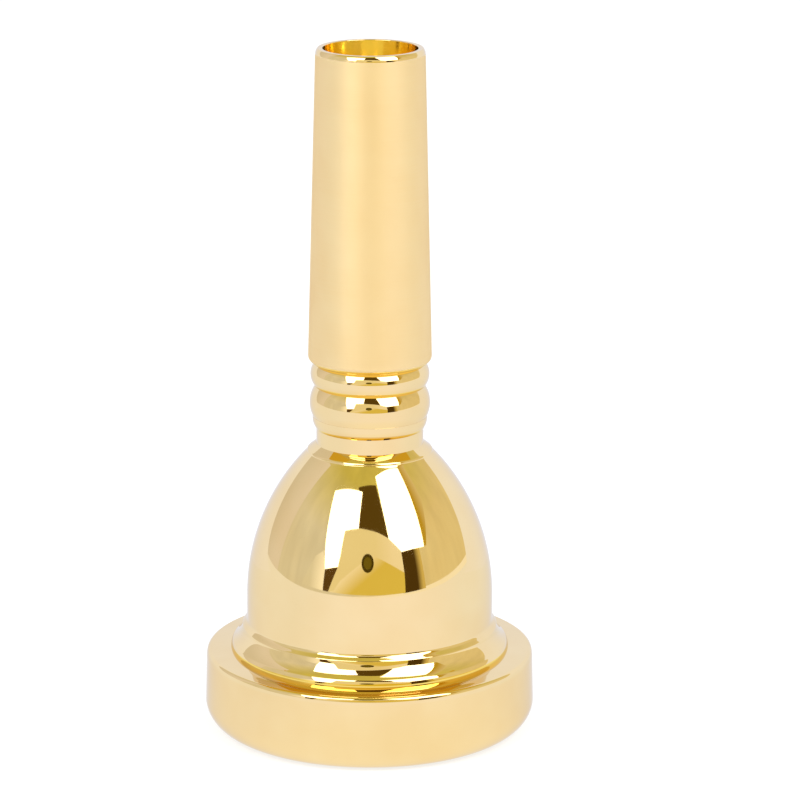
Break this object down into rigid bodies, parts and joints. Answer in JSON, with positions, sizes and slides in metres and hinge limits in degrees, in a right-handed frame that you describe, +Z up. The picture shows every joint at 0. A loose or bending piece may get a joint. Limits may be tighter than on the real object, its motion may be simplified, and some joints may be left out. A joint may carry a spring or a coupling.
{
  "type": "trombone mouthpiece",
  "caption": "Gold-plated brass mouthpiece for a large-shank trombone: a round rim, a bell-shaped cup with a beaded neck and a tapered shank, which unscrew from each other.",
  "frame": {"origin": "centre of the rim's crown, on the surface that the mouthpiece stands on", "axes": "+Z runs up the axis from the rim to the tip of the shank; the part is turned, so X and Y are any two directions across the axis"},
  "size_m": [0.0392, 0.0392, 0.0815],
  "materials": {
    "polished_gold_plate": "mirror-polished gold plate on turned brass",
    "satin_gold_plate": "satin gold plate on brass, brushed round the axis, with a polished lip"
  },
  "bodies": {
    "rim": {"rim": "polished_gold_plate"},
    "cup": {"cup": "polished_gold_plate"},
    "shank": {"shank": "satin_gold_plate"}
  },
  "joints": [
    {"name": "rim_thread", "type": "slide", "parent": "rim", "child": "cup", "axis": [0, 0, 1], "range_m": [0, 0.015]},
    {"name": "shank_thread", "type": "slide", "parent": "cup", "child": "shank", "axis": [0, 0, 1], "range_m": [0, 0.02]}
  ]
}
